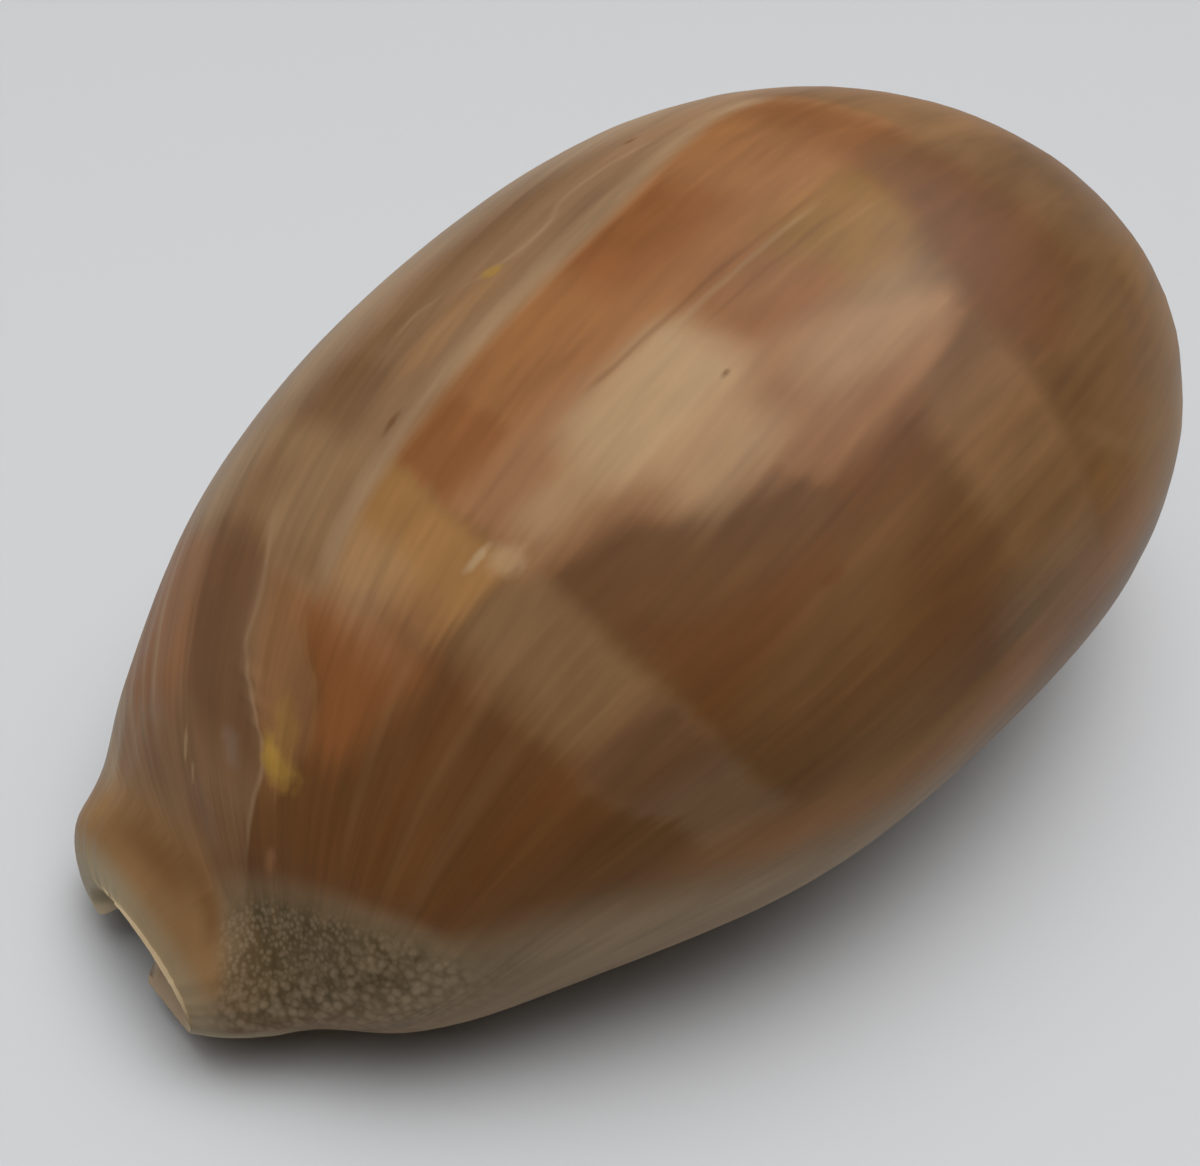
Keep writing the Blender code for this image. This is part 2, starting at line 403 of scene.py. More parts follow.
def sideways(turn):
    """Sideways reach of the section, -1 to 1, at a turn from the crown."""
    return (np.sin(turn) + FULLNESS * np.sin(3.0 * turn)) / (1.0 - FULLNESS)


def endwise(station, turn, height):
    """X of the outside: the egg's own, with the notches and the overhang worked in."""
    share = along(station)
    crown_side = np.cos((turn - NOTCH_TURN) / 2.0) ** 4
    x = -LENGTH / 2.0 * np.cos(math.pi * station)
    x = x + FRONT_NOTCH * crown_side * np.exp(-((share / 0.05) ** 1.5))
    x = x - REAR_NOTCH * crown_side * np.exp(-(1.0 - share) / 0.04)
    low = np.clip(1.0 - height / OVERHANG_HEIGHT, 0.0, 1.0) ** 2
    return x - REAR_OVERHANG * step_between((share - OVERHANG_START) / (1.0 - OVERHANG_START)) * low


def front_rim(station):
    """How far the thickened rim stands out of the egg at a station."""
    share = along(station)
    swell = FRONT_SWELL * np.exp(-(((share - SWELL_PLACE) / SWELL_REACH) ** 2))
    waist = FRONT_WAIST * np.exp(-(((share - WAIST_PLACE) / SWELL_REACH) ** 2))
    return swell - waist - FRONT_ROLL * np.exp(-share / ROLL_REACH)


def outside(station, turn):
    """Points of the outer surface."""
    swell = front_rim(station)
    base = lift(station) - np.minimum(swell, 0.0)
    level = (1.0 + np.cos(turn)) / 2.0
    rise = (profile(CROWN, station) + swell - base + FLAT_DEPTH) * level**ROUNDNESS
    above = rise - FLAT_DEPTH
    z = base + (above + np.sqrt(above**2 + FLAT_BLEND**2)) / 2.0
    y = profile(MIDDLE, station) + (profile(HALF_WIDTH, station) + swell) * sideways(turn)
    x = endwise(station, turn, z)
    return np.stack(np.broadcast_arrays(x, y, z), -1)


def inside(station, turn, wall):
    """Points of the inner surface, which the columella rolls into as a thick lip."""
    middle_part = np.sin(math.pi * station) ** 0.5
    thickness = RIM_WALL + (wall - RIM_WALL) * middle_part
    lip = np.where(turn > 0.0, LIP_HEIGHT_OUTER, LIP_HEIGHT_INNER)
    near_lip = np.exp(-(((math.pi - np.abs(turn)) / LIP_SPREAD) ** 2))
    floor = lift(station) + thickness + (lip - wall) * middle_part * near_lip
    level = (1.0 + np.cos(turn)) / 2.0
    z = floor + (profile(CROWN, station) - thickness - floor) * level**ROUNDNESS
    y = profile(MIDDLE, station) + (profile(HALF_WIDTH, station) - thickness) * sideways(turn)
    x = endwise(station, turn, z) * (1.0 - 2.0 * wall / LENGTH)
    return np.stack(np.broadcast_arrays(x, y, z), -1)


def lip_turns(station):
    """The turns at which the outside ends at the outer lip and at the inner lip."""
    half = profile(HALF_WIDTH, station) * (1.0 + 3.0 * FULLNESS) / (1.0 - FULLNESS)
    shift = profile(SLIT_LINE, along(station)) - profile(MIDDLE, station)
    reach = profile(SLIT_HALF, along(station)) + LIP_ROUND * np.sin(math.pi * station) ** 0.3
    wider = FRONT_GAP * np.exp(-((along(station) / 0.05) ** 2))
    outer = math.pi - np.arcsin(np.clip((shift + reach + wider) / half, 0.05, 0.95))
    inner = math.pi - np.arcsin(np.clip((reach - shift) / half, 0.05, 0.9))
    return outer, inner


def station_grid():
    """Stations and turns of the surface's points, evenly spread over the shell."""
    even = np.linspace(0.0, 1.0, STATIONS)
    level = np.arccos(1.0 - 2.0 * even) / math.pi
    station = (0.5 * even + 0.5 * level)[:, None]
    outer_turn, inner_turn = lip_turns(station)
    share = np.linspace(0.0, 1.0, AROUND + 1)[None]
    share = share - CROWDING * np.sin(2.0 * math.pi * share)
    return station, outer_turn + (-inner_turn - outer_turn) * share


def border(rows, columns):
    """The grid's border as one closed ring of (row, column) pairs."""
    ring = [(i, 0) for i in range(rows)]
    ring += [(rows - 1, j) for j in range(1, columns)]
    ring += [(i, columns - 1) for i in range(rows - 2, -1, -1)]
    ring += [(0, j) for j in range(columns - 2, 0, -1)]
    return np.array(ring)


def outward(grid, ring):
    """At each point of the border, the way the surface runs off its own edge."""
    rows, columns = grid.shape[:2]
    ways = np.zeros((len(ring), 3))
    for k, (i, j) in enumerate(ring):
        if i in (0, rows - 1):
            behind = grid[1 if i == 0 else rows - 2, j]
            ways[k] += (grid[i, j] - behind) / np.linalg.norm(grid[i, j] - behind)
        if j in (0, columns - 1):
            behind = grid[i, 1 if j == 0 else columns - 2]
            ways[k] += (grid[i, j] - behind) / np.linalg.norm(grid[i, j] - behind)
    smooth = sum(np.roll(ways, step, axis=0) for step in range(-EDGE_BLEND, EDGE_BLEND + 1))
    return smooth / np.linalg.norm(smooth, axis=1)[:, None]


def edge_rings(outer, inner, ring):
    """Rings that round the shell's edge over from the outer surface to the inner one."""
    near = outer[ring[:, 0], ring[:, 1]]
    far = inner[ring[:, 0], ring[:, 1]]
    ways = outward(outer, ring)
    on_lip = np.isin(ring[:, 1], (0, outer.shape[1] - 1))
    ends = np.sin(math.pi * np.clip(near[:, 0] / LENGTH + 0.5, 0.0, 1.0))
    bulge = RIM_ROUND + (LIP_ROUND - RIM_ROUND) * on_lip * step_between(ends * 2.4)
    rings = []
    for k in range(1, EDGE_STEPS + 1):
        angle = math.pi * k / (EDGE_STEPS + 1)
        middle = (near + far) / 2.0 + (near - far) / 2.0 * math.cos(angle)
        rings.append(middle + ways * (bulge * math.sin(angle))[:, None])
    return rings


def shell_grids(wall):
    """The outer and inner grids of points with their stations and turns."""
    station, turn = station_grid()
    outer = outside(station, turn)
    inner = inside(station, turn, wall)
    return np.broadcast_to(station, turn.shape), turn, outer, inner


def tooth_nearness(outer):
    """How strongly the teeth show on the base: 1 at the slit's edge, 0 where they run out."""
    beyond_outer = (outer[..., 1] - outer[:, :1, 1]) / TOOTH_REACH_OUTER
    beyond_inner = (outer[:, -1:, 1] - outer[..., 1]) / TOOTH_REACH_INNER
    nearness = np.clip(1.0 - np.maximum(beyond_outer, beyond_inner), 0.0, 1.0)
    return nearness * (outer[..., 2] < LIP_HEIGHT_OUTER)


def quads(index):
    """Faces of a grid of point numbers."""
    a, b = index[:-1, :-1], index[1:, :-1]
    c, d = index[1:, 1:], index[:-1, 1:]
    return np.stack([a, d, c, b], -1).reshape(-1, 4).tolist()


def ring_quads(near, far):
    """Faces between two rings of point numbers."""
    return np.stack([near, np.roll(near, -1), np.roll(far, -1), far], -1).tolist()


def shell_body(settings):
    """The closed shell as a mesh, with along, turn, tooth and depth stored at each point."""
    station, turn, outer, inner = shell_grids(settings.wall / MM)
    rows, columns = turn.shape
    ring = border(rows, columns)
    on_ring = tuple(ring.T)
    share = along(station)
    degrees = np.degrees(turn)
    nearness = tooth_nearness(outer)
    ring_tooth = nearness[on_ring] * np.isin(ring[:, 1], (0, columns - 1))

    points = [outer.reshape(-1, 3)]
    values = [np.stack([share, degrees, nearness, np.zeros_like(share)], -1).reshape(-1, 4)]
    outer_index = np.arange(rows * columns).reshape(rows, columns)
    faces = quads(outer_index)
    count = rows * columns

    near = outer_index[on_ring]
    for k, edge in enumerate(edge_rings(outer, inner, ring), 1):
        far = count + np.arange(len(ring))
        faces += ring_quads(near, far)
        points.append(edge)
        depth = np.full(len(ring), k / (EDGE_STEPS + 1.0))
        values.append(np.stack([share[on_ring], degrees[on_ring], ring_tooth, depth], -1))
        near = far
        count += len(ring)

    # The inside keeps every other point, and all of them along its border.
    kept = np.zeros((rows, columns), bool)
    kept[on_ring] = True
    kept[::2, ::2] = True
    inner_index = np.full((rows, columns), -1)
    inner_index[kept] = count + np.arange(kept.sum())
    points.append(inner[kept])
    inner_tooth = np.zeros_like(share)
    inner_tooth[on_ring] = ring_tooth * 0.5
    values.append(np.stack([share, degrees, inner_tooth, np.ones_like(share)], -1)[kept])
    faces += ring_quads(near, inner_index[on_ring])
    for i in range(0, rows - 1, 2):
        for j in range(0, columns - 1, 2):
            block = inner_index[i : i + 3, j : j + 3]
            around = (*block[:, 0], block[2, 1], *block[::-1, 2], block[0, 1])
            faces.append([int(number) for number in around if number >= 0])
    return to_mesh(settings, np.concatenate(points), np.concatenate(values), faces)


def to_mesh(settings, points, values, faces):
    """The points fitted to the shell's length, width and height, standing on the floor."""
    low, high = points.min(axis=0), points.max(axis=0)
    size = np.array((settings.length, settings.width, settings.height))
    middle = np.array((CAD_LOW + CAD_HIGH) / 2.0)
    corner = np.array((middle[0] - size[0] / 2.0, middle[1] - size[1] / 2.0, CAD_LOW.z))
    points = corner + (points - low) / (high - low) * size
    mesh = bpy.data.meshes.new(NODE)
    mesh.from_pydata(points.tolist(), [], faces)
    for column, name in enumerate(("along", "turn", "tooth", "depth")):
        stored = mesh.attributes.new(name, "FLOAT", "POINT")
        stored.data.foreach_set("value", np.ascontiguousarray(values[:, column], np.float32))
    mesh.shade_smooth()
    return mesh


# ---------------------------------------------------------------- marks on the shell

# Lines along the shell, as (along, turn).
SCAR = (
    (0.05, -40), (0.07, -22), (0.085, -14.6), (0.098, -10.4), (0.119, -6.5), (0.137, 2), (0.157, 9.6),
    (0.175, 12), (0.193, 14.3), (0.221, 19.5), (0.26, 23),
)
MANTLE_LINE = (
    (0.19, 0), (0.21, 3), (0.25, 7), (0.29, 8.7), (0.35, 10), (0.45, 10.5), (0.55, 12), (0.6, 13.5),
    (0.66, 15), (0.74, 12),
)
SPECK_EDGE = (
    (0.03, -12), (0.06, -17), (0.08, -27), (0.105, -42), (0.126, -57), (0.146, -68), (0.18, -71),
    (0.24, -78), (0.3, -84), (0.45, -91), (0.6, -88), (0.75, -76), (0.9, -60),
)
SCAR_FOOT = ((0.12, -14), (0.144, -11.8), (0.167, -6.5), (0.175, -2.1), (0.191, 2.4), (0.22, 6))
SHADE_TOP = ((0.095, 8), (0.112, 17), (0.137, 26), (0.165, 32), (0.197, 34), (0.25, 38))
BLOOM_TOP = ((0.04, 58), (0.1, 80))
BLOOM_FOOT = ((0.04, 40), (0.07, 45), (0.11, 60))
PALE_SIDE_FOOT = ((0.2, 40), (0.3, 37), (0.5, 32), (0.6, 25), (0.8, 20))
BROWN_FOOT = ((0.3, -57), (0.35, -53), (0.4, -47), (0.45, -44), (0.53, -44))
DARK_TOP = ((0.3, -33), (0.345, -40), (0.4, -41), (0.44, -39), (0.53, -36))
DARK_FOOT = ((0.3, -55), (0.35, -50), (0.4, -45.5), (0.45, -43), (0.53, -43))
SEAM_FRONT = ((0.34, 23), (0.38, 24), (0.405, 22.5))
SEAM_REAR = ((0.42, 20), (0.44, 18), (0.475, 17), (0.5, 18), (0.52, 19.5), (0.56, 19), (0.62, 16))

# Lines across the shell, as (turn, along).
BAND_A_FRONT = (
    (-90, 0.285), (-75, 0.272), (-64, 0.258), (-55, 0.24), (-40, 0.229), (-27, 0.219), (-7, 0.222),
    (0, 0.213), (10, 0.208), (30, 0.205),
)
BAND_A_REAR = (
    (-90, 0.335), (-75, 0.322), (-56, 0.3), (-45, 0.294), (-32, 0.289), (-18, 0.29), (-10, 0.284),
    (6, 0.29), (30, 0.29),
)
DARK_FRONT = ((-46, 0.602), (-36, 0.602), (-26, 0.618), (-15, 0.638), (0, 0.65), (12, 0.662))
DARK_REAR = ((-46, 0.655), (-32, 0.668), (-15, 0.705), (0, 0.71), (12, 0.685))
CALLUS_EDGE = (
    (-100, 0.002), (-64, 0.01), (-52, 0.021), (-32, 0.038), (-16, 0.053), (0, 0.058), (20, 0.056),
    (40, 0.044), (70, 0.035),
)

# The worn patch on the crown, as (along, turn).
PATCH_TOP = (
    (0.28, -14), (0.3, -10), (0.335, -5), (0.37, -4), (0.41, -7), (0.45, -10.5), (0.465, -15),
    (0.48, -18), (0.52, -21), (0.56, -26), (0.605, -31),
)
PATCH_FOOT = (
    (0.28, -21), (0.34, -24), (0.36, -27), (0.4, -31), (0.42, -32.5), (0.45, -37), (0.5, -37),
    (0.53, -36), (0.605, -31),
)

# Areas of colour: colour, amount, start and end (share of the length, or a line across), softness
# of those, upper and lower side (turn, or a line along), softness of those.
BANDS = (
    ("taupe", 0.6, 0.33, 0.505, 0.03, -52, -95, 7),
    ("umber", 0.75, 0.31, 0.45, 0.03, -54, -74, 8),
    ("bark", 0.45, 0.43, 0.5, 0.03, -50, -80, 6),
    ("ochre", 0.6, 0.36, 0.53, 0.04, -77, -95, 5),
    ("russet", 0.5, 0.48, 0.525, 0.01, -77, -92, 4),
    ("bark", 0.18, 0.3, 0.52, 0.01, -22, BROWN_FOOT, 4),
    ("bark", 0.52, 0.3, 0.52, 0.012, DARK_TOP, DARK_FOOT, 3.5),
    ("bark", 0.2, 0.293, 0.345, 0.008, -22, -33, 3),
    ("mahogany", 0.35, 0.435, 0.525, 0.012, -37, -45.5, 3),
    ("margin", 0.2, 0.49, 0.575, 0.02, -66, -80, 5),
    ("sand", 0.85, 0.51, 0.598, 0.015, -40, -56, 3.5),
    ("amber", 0.25, 0.51, 0.598, 0.015, -38, -52, 4),
    ("sand", 0.45, 0.51, 0.598, 0.012, -56, -82, 5),
    ("amber", 1, 0.287, 0.72, 0.008, MANTLE_LINE, -9, 2),
    ("russet", 0.76, 0.287, 0.345, 0.007, 6.3, -5, 1.4),
    ("rose", 0.8, 0.285, 0.35, 0.01, -4.5, -13, 2.5),
    ("russet", 0.95, 0.452, 0.562, 0.018, 9, -8, 2),
    ("mahogany", 0.45, 0.48, 0.545, 0.015, 9, 1, 2.5),
    ("umber", 0.14, 0.55, 0.66, 0.02, 10, -3, 4),
    ("amber", 0.85, 0.44, 0.61, 0.02, -3, -22, 3),
    ("ochre", 0.9, 0.54, 0.65, 0.02, -8, -22, 3.5),
    ("honey", 0.2, 0.54, 0.62, 0.02, -8, -20, 4),
    ("taupe", 0.35, 0.59, 0.655, 0.015, -16, -32, 4),
    ("russet", 0.5, 0.46, 0.552, 0.014, -15, -21, 2),
    ("taupe", 0.8, 0.6, 0.73, 0.012, -42, -64, 5),
    ("umber", 0.5, 0.597, 0.625, 0.01, -42, -76, 5),
    ("umber", 0.5, 0.61, 0.74, 0.02, -44, -66, 5),
    ("ochre", 0.8, 0.6, 0.8, 0.015, -64, -84, 6),
    ("russet", 0.35, 0.6, 0.66, 0.015, -70, -84, 4),
    ("bark", 0.22, 0.6, 0.65, 0.015, -62, -78, 5),
    ("russet", 0.75, DARK_FRONT, DARK_REAR, 0.022, 14, -12, 5),
    ("mahogany", 0.85, DARK_FRONT, DARK_REAR, 0.022, -4, -43, 6),
    ("umber", 0.75, DARK_FRONT, 0.735, 0.018, -7, -40, 4),
    ("umber", 0.25, 0.65, 0.7, 0.018, 12, -6, 5),
    ("bark", 0.55, DARK_FRONT, 0.7, 0.018, -14, -40, 5),
    ("sand", 0.85, 0.712, 1.1, 0.025, 20, -18, 7),
    ("taupe", 0.85, 0.725, 1.1, 0.025, -18, -42, 6),
    ("ochre", 0.55, 0.745, 1.1, 0.03, -42, -76, 6),
)

# Colours of the front pale band, from edge to edge: colour, amount, upper and lower side, softness.
PALE_BAND = (
    ("honey", 1, 9, -18.5, 2),
    ("sand", 0.95, -18.5, -58, 2.5),
    ("dusk", 0.85, -44, -62, 4),
    ("margin", 0.25, -58, -74, 4),
)

PATCH = (
    ("rose", 0.8, 0.28, 0.6, 0.016, PATCH_TOP, PATCH_FOOT, 2.6),
    ("cream", 0.88, 0.352, 0.462, 0.02, -8.5, -21, 3),
    ("cream", 0.55, 0.3, 0.365, 0.016, -12.5, -19, 2.5),
    ("cream", 0.6, 0.37, 0.445, 0.02, -21, -30, 3.5),
    ("cream", 0.35, 0.48, 0.59, 0.025, -21, -31, 3.5),
    ("russet", 0.2, 0.425, 0.515, 0.015, -31, -37, 3),
)

FRONT = (
    ("bark", 0.5, 0.04, 0.235, 0.015, -8, -62, 6),
    ("russet", 0.92, 0.142, 0.214, 0.012, SCAR_FOOT, -20, 4),
    ("rose", 0.5, 0.11, 0.215, 0.014, SCAR, SCAR_FOOT, 2),
    ("rose", 0.45, 0.195, 0.24, 0.015, 6, -16, 4),
    ("bark", 0.5, 0.095, 0.125, 0.014, -19, -31, 5),
    ("cream", 0.3, 0.205, 0.25, 0.012, 17, -8, 4),
)

OUTER_SIDE = (
    ("clay", 0.95, 0.205, 0.8, 0.012, 90, MANTLE_LINE, 2.5),
    ("sand", 0.7, 0.205, 0.29, 0.008, 60, MANTLE_LINE, 3.5),
    ("umber", 0.38, 0.29, 0.345, 0.01, 36, 17, 5),
    ("umber", 0.3, 0.2, 0.29, 0.025, 33, 22, 4),
    ("umber", 0.4, 0.3, 0.56, 0.04, 31, 24, 3),
    ("honey", 0.3, 0.345, 0.44, 0.018, 18.5, 14, 2.5),
    ("cream", 0.28, 0.215, 0.29, 0.015, 46, 10, 6),
    ("margin", 0.62, 0.2, 0.95, 0.04, 90, PALE_SIDE_FOOT, 8),
)

SCAR_SIDE = (
    ("clay", 1, 0.02, 0.205, 0.01, 90, SCAR, 1.2),
    ("russet", 0.45, 0.1, 0.198, 0.006, 54, 22, 6),
    ("umber", 0.45, 0.04, 0.12, 0.02, 30, -30, 8),
    ("bark", 0.32, 0.056, 0.088, 0.01, 4, -22, 5),
    ("dusk", 0.82, 0.108, 0.212, 0.016, SHADE_TOP, SCAR, 5),
    ("dusk", 0.3, 0.2, 0.262, 0.02, 38, 22, 4),
    ("margin", 0.8, 0.045, 0.105, 0.014, BLOOM_TOP, BLOOM_FOOT, 4),
)

# Strokes along the growth lines: colour, amount, flow, width, start, end.
TRAILS = (
    ("bark", 0.45, -16, 2, 0.12, 0.225),
    ("sand", 0.25, -7.5, 2.2, 0.115, 0.215),
    ("sand", 0.2, -20.8, 2.2, 0.115, 0.228),
    ("bark", 0.45, -38, 3, 0.15, 0.232),
    ("sand", 0.25, -29, 3.5, 0.12, 0.228),
    ("margin", 0.45, 62, 2, 0.1, 0.25),
    ("margin", 0.35, 69, 2, 0.1, 0.23),
    ("russet", 0.45, 65.5, 1.5, 0.08, 0.2),
    ("russet", 0.5, 74, 2, 0.08, 0.19),
    ("margin", 0.4, 79, 2.5, 0.08, 0.25),
)

# Lines along the shell: colour, amount, path, width, start, end.
LINES = (
    ("mauve", 0.85, MANTLE_LINE, 3.4, 0.215, 0.7),
    ("mauve", 0.45, SEAM_FRONT, 0.8, 0.37, 0.403),
    ("mauve", 0.45, SEAM_REAR, 0.9, 0.425, 0.6),
    ("mauve", 0.5, SCAR, 1.3, 0.08, 0.23),
    ("mauve", 0.22, ((0.137, 1), (0.157, 8), (0.193, 13), (0.24, 19)), 4, 0.14, 0.22),
    ("honey", 0.2, SCAR_FOOT, 1, 0.14, 0.195),
    ("sand", 0.35, ((0.61, -57), (0.635, -62), (0.665, -66), (0.72, -63)), 4, 0.61, 0.7),
    ("bark", 0.35, ((0.38, -7.5), (0.45, -8.4), (0.62, -9)), 0.7, 0.39, 0.6),
    ("cream", 0.28, ((0.38, -9), (0.45, -9.9), (0.62, -10.5)), 0.8, 0.4, 0.58),
    ("bark", 0.25, ((0.45, -12.3), (0.64, -13.5)), 0.6, 0.47, 0.6),
    ("honey", 0.25, ((0.45, -14), (0.64, -15.5)), 0.7, 0.5, 0.62),
)

# Flecks: colour, amount, centre (along, turn), size (along, turn), lean.
FLECKS = (
    ("gold", 0.32, (0.14, -6.5), (0.026, 7), 220),
    ("gold", 0.8, (0.1235, -10), (0.016, 9), 140),
    ("gold", 0.6, (0.1255, -6.2), (0.014, 4), 300),
    ("gold", 0.7, (0.436, 18), (0.014, 2.2), -40),
    ("cream", 0.9, (0.2735, -13.4), (0.018, 1.4), 5),
    ("cream", 0.62, (0.283, -16.5), (0.021, 5), -40),
    ("cream", 0.6, (0.097, 13.8), (0.012, 1.4), 300),
    ("cream", 0.45, (0.088, 8), (0.008, 1.2), 300),
    ("mist", 0.28, (0.113, 2), (0.016, 6), 250),
    ("mist", 0.22, (0.104, 30), (0.018, 9), 300),
    ("mist", 0.15, (0.08, 0), (0.02, 9), 700),
    ("rose", 0.55, (0.087, -22), (0.01, 3.5), 300),
    ("bark", 0.55, (0.31, 11.6), (0.02, 1.3), 30),
    ("bark", 0.7, (0.598, 21.7), (0.013, 1.3), 0),
    ("bark", 0.65, (0.447, -18.8), (0.008, 0.9), 0),
    ("bark", 0.5, (0.405, -46.5), (0.018, 1.6), 0),
    ("bark", 0.4, (0.633, -33), (0.08, 17), 60),
    ("ochre", 0.45, (0.03, 35), (0.03, 40), 0),
)

# Sizes of the relief, called in the tree as they are in the settings.
RELIEF_SIZES = (
    "Tooth Pitch", "Toothed Length", "Groove Depth", "Growth Depth", "Spire Depth", "Scar Height",
)


def relief_tree():
    """Geometry nodes that cut the teeth and raise the growth lines, the scar and the spire pit."""
    tree = bpy.data.node_groups.new("Shell relief", "GeometryNodeTree")
    graph = Graph(tree)
    face = tree.interface
    face.new_socket("Geometry", in_out="INPUT", socket_type="NodeSocketGeometry")
    for name in RELIEF_SIZES:
        face.new_socket(name, in_out="INPUT", socket_type="NodeSocketFloat")
    face.new_socket("Material", in_out="INPUT", socket_type="NodeSocketMaterial")
    face.new_socket("Geometry", in_out="OUTPUT", socket_type="NodeSocketGeometry")
    entry = graph.node("NodeGroupInput")

    def given(name):
        return graph.read(entry, name)

    def stored(name):
        return graph.value(
            "GeometryNodeInputNamedAttribute", {"data_type": "FLOAT"}, {"Name": name}, "Attribute"
        )

    place = graph.value("GeometryNodeInputPosition")
    split = graph.node("ShaderNodeSeparateXYZ", None, {0: place})
    x, y, z = (graph.read(split, axis) for axis in range(3))
    share, turn, tooth, depth = (stored(name) for name in ("along", "turn", "tooth", "depth"))
    skin = 1.0 - depth.rise(0.0, 0.1)

    phase = (x + given("Toothed Length") / 2.0) / given("Tooth Pitch")
    wave = 0.5 - 0.5 * (phase * (2.0 * math.pi)).cosine()
    toothed = 1.0 - (abs(x) / given("Toothed Length")).rise(0.47, 0.5)
    groove = wave**1.3 * toothed * tooth.rise(0.0, 0.7) * given("Groove Depth")

    growth_place = graph.value("ShaderNodeCombineXYZ", None, {0: share * 3.0, 1: turn / 7.0, 2: 4.0})
    growth = graph.value(
        "ShaderNodeTexNoise", None, {"Vector": growth_place, "Scale": 1.0, "Detail": 1.0}
    )
    swell = (growth - 0.7).least(0.0) * given("Growth Depth") * 2.0

    from_spire = ((y - SPIRE_SIDE) ** 2.0 + (z - SPIRE_HEIGHT) ** 2.0) ** 0.5
    pit = (1.0 - from_spire.rise(0.0, SPIRE_REACH)) * share.rise(0.8, 0.9) * given("Spire Depth")

    scarred = share.bump(0.15, 0.07)
    ridge = (turn - share.follow(SCAR)).bump(0.0, 2.5) * scarred * given("Scar Height")

    offset = (swell - pit + ridge) * skin - groove
    normal = graph.value("GeometryNodeInputNormal")
    push = graph.value("ShaderNodeVectorMath", {"operation": "SCALE"}, {0: normal, "Scale": offset})
    moved = graph.value(
        "GeometryNodeSetPosition", None, {"Geometry": given("Geometry"), "Offset": push}
    )
    real = graph.value("GeometryNodeRealizeInstances", None, {"Geometry": moved})
    dressed = graph.value(
        "GeometryNodeSetMaterial", None, {"Geometry": real, "Material": given("Material")}
    )
    graph.node("NodeGroupOutput", None, {"Geometry": dressed})
    return tree


def work_in(shell, tree, inputs):
    """Lets the tree work on the object and keeps the result as its plain mesh."""
    modifier = shell.modifiers.new("relief", "NODES")
    modifier.node_group = tree
    for item in tree.interface.items_tree:
        if item.in_out == "INPUT" and item.name in inputs:
            modifier[item.identifier] = inputs[item.name]
    bpy.context.view_layer.update()
    graph = bpy.context.evaluated_depsgraph_get()
    evaluated = shell.evaluated_get(graph)
    mesh = bpy.data.meshes.new_from_object(evaluated, preserve_all_data_layers=True, depsgraph=graph)
    shell.modifiers.clear()
    rough = shell.data
    shell.data = mesh
    bpy.data.meshes.remove(rough)
    mesh.name = shell.name


# ---------------------------------------------------------------- finish


class Paint:
    """Lays colours over each other on one material."""

    def __init__(self, graph, colour):
        self.graph = graph
        self.colour = (*colour, 1.0)

    def lay(self, colour, amount):
        """Covers what is there with a colour, by an amount from 0 to 1."""
        settings = {"data_type": "RGBA", "clamp_factor": True}
        inputs = {0: amount, 6: self.colour, 7: (*colour, 1.0)}
        self.colour = self.graph.value("ShaderNodeMix", settings, inputs, 2)

    def shade(self, amount):
        """Multiplies what is there by a number."""
        inputs = {0: self.colour, "Scale": amount}
        self.colour = self.graph.value("ShaderNodeVectorMath", {"operation": "SCALE"}, inputs)


# Grains drawn out along the growth lines: length (share of the shell's) and width (degrees).
GRAINS = ((0.035, 1.1), (0.06, 2.6), (0.12, 7.0), (0.18, 17.0), (0.35, 1.5), (0.12, 30.0))
# How strongly each grain darkens and lightens the paint.
STREAKS = (("hair", 0.18), ("fine", 0.28), ("strand", 0.4), ("wisp", 0.2), ("cloud", 0.4))
# How far each grain moves the edges of the marks, along (share) and round the shell (degrees).
ALONG_STIR = (("fine", 0.007), ("wisp", 0.011))
TURN_STIR = (("sway", 4.0), ("fine", 2.0), ("wisp", 1.5))
# The growth lines' swing at the front end: where it stops growing, how fast, how far, and the
# swing of the growth line that is called 0.
SWING_FOOT, SWING_POWER, SWING_REACH, SWING_ZERO = 0.055, -1.2, 2.3, 5.3


